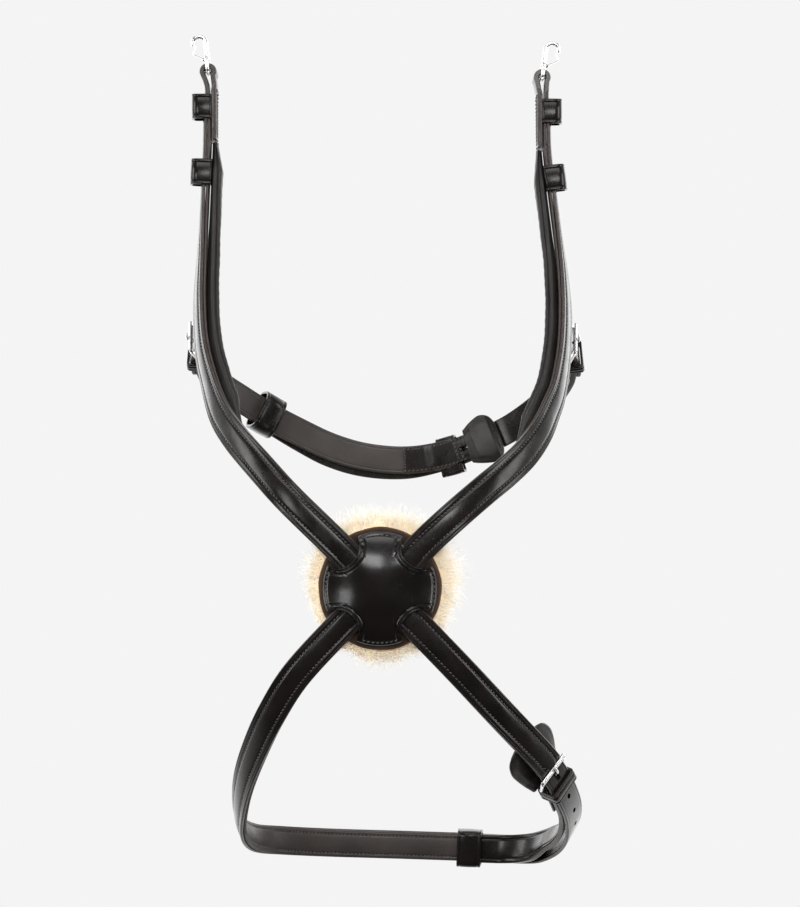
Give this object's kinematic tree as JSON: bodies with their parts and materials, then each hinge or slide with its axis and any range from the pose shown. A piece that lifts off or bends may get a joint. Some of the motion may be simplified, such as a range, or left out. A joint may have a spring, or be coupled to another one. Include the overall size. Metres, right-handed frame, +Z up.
{
  "type": "bridle noseband",
  "caption": "Figure-of-eight bridle noseband: padded nose disc with sheepskin, crossed leather straps, jaw and chin straps with steel buckles, and two snap hooks to hang from.",
  "frame": {"origin": "midway between the crowns of the two snap hooks, where the bridle's headpiece rings hold the part", "axes": "+X across the head, to the right of somebody who faces the nose disc; +Y from the nose disc back to the jaw straps; +Z up, from the chin strap to the hooks"},
  "size_m": [0.2635, 0.2016, 0.5555],
  "materials": {
    "strap_leather": "glossy dark strap leather, stitched and creased",
    "keeper_leather": "glossy dark leather loops with creased edges",
    "disc_leather": "glossy dark domed leather, stitched",
    "lining": "matt soft lining leather",
    "pad_leather": "soft padded leather, low sheen",
    "sheepskin": "cream sheepskin pile",
    "steel": "polished stainless steel"
  },
  "bodies": {
    "noseband": {"cheek_keeper_lower_left": "keeper_leather", "cheek_keeper_lower_right": "keeper_leather", "cheek_keeper_upper_left": "keeper_leather", "cheek_keeper_upper_right": "keeper_leather", "cheek_left_buckle_frame": "steel", "cheek_left_chape": "strap_leather", "cheek_left_keeper": "keeper_leather", "cheek_left_tab": "strap_leather", "cheek_pad_left": "pad_leather", "cheek_pad_right": "pad_leather", "cheek_right_buckle_frame": "steel", "cheek_right_chape": "strap_leather", "cheek_right_keeper": "keeper_leather", "cheek_right_tab": "strap_leather", "chin_billet": "strap_leather", "chin_buckle_frame": "steel", "chin_buckle_keeper": "keeper_leather", "chin_chape": "strap_leather", "chin_guard": "strap_leather", "chin_rear_keeper": "keeper_leather", "chin_strap": "strap_leather", "hook_loop_left": "strap_leather", "hook_loop_right": "strap_leather", "jaw_billet": "strap_leather", "jaw_buckle_frame": "steel", "jaw_chape": "strap_leather", "jaw_end_keeper": "keeper_leather", "jaw_guard": "strap_leather", "jaw_lining": "lining", "jaw_strap": "strap_leather", "lower_lining_left": "lining", "lower_strap_left": "strap_leather", "lower_strap_right": "strap_leather", "nose_disc_back": "lining", "nose_disc_front": "disc_leather", "sheepskin_pad": "sheepskin", "upper_lining_left": "lining", "upper_lining_right": "lining", "upper_strap_left": "strap_leather", "upper_strap_right": "strap_leather"},
    "hook_left": {"hook_body_left": "steel"},
    "hook_right": {"hook_body_right": "steel"},
    "hook_gate_left": {"hook_gate_left": "steel"},
    "hook_gate_right": {"hook_gate_right": "steel"},
    "prong_cheek_left": {"cheek_left_buckle_prong": "steel"},
    "prong_cheek_right": {"cheek_right_buckle_prong": "steel"},
    "prong_jaw": {"jaw_buckle_prong": "steel"},
    "prong_chin": {"chin_buckle_prong": "steel"},
    "jaw_runner": {"jaw_runner_keeper": "keeper_leather"}
  },
  "joints": [
    {"name": "hook_left_swing", "type": "hinge", "parent": "noseband", "child": "hook_left", "pos_m": [-0.114, 0, -0.022], "axis": [0, 1, 0], "range_deg": [-60, 60]},
    {"name": "hook_right_swing", "type": "hinge", "parent": "noseband", "child": "hook_right", "pos_m": [0.1058, 0, -0.026], "axis": [0, -1, 0], "range_deg": [-60, 60]},
    {"name": "hook_left_gate", "type": "hinge", "parent": "hook_left", "child": "hook_gate_left", "pos_m": [-0.11741, 0, -0.0125], "axis": [0, 1, 0], "range_deg": [0, 20], "stiffness_Nm_per_rad": 0.02, "springref_deg": -8.59},
    {"name": "hook_right_gate", "type": "hinge", "parent": "hook_right", "child": "hook_gate_right", "pos_m": [0.10954, 0, -0.01663], "axis": [0, -1, 0], "range_deg": [0, 20], "stiffness_Nm_per_rad": 0.02, "springref_deg": -8.59},
    {"name": "cheek_left_prong_lift", "type": "hinge", "parent": "noseband", "child": "prong_cheek_left", "pos_m": [-0.11899, 0.00121, -0.20393], "axis": [0.0394, -0.5898, -0.8066], "range_deg": [0, 15]},
    {"name": "cheek_right_prong_lift", "type": "hinge", "parent": "noseband", "child": "prong_cheek_right", "pos_m": [0.1236, 0.0043, -0.20592], "axis": [0.0498, 0.6067, 0.7933], "range_deg": [0, 15]},
    {"name": "jaw_prong_lift", "type": "hinge", "parent": "noseband", "child": "prong_jaw", "pos_m": [0.0601, 0.058, -0.26842], "axis": [-0.3633, 0.0792, 0.9283], "range_deg": [0, 15]},
    {"name": "chin_prong_lift", "type": "hinge", "parent": "noseband", "child": "prong_chin", "pos_m": [0.10816, -0.07199, -0.47734], "axis": [0.5874, 0.3581, 0.7258], "range_deg": [0, 15]},
    {"name": "jaw_runner_slide", "type": "slide", "parent": "noseband", "child": "jaw_runner", "axis": [0.9496, -0.1628, 0.2678], "range_m": [-0.002, 0.002]}
  ]
}
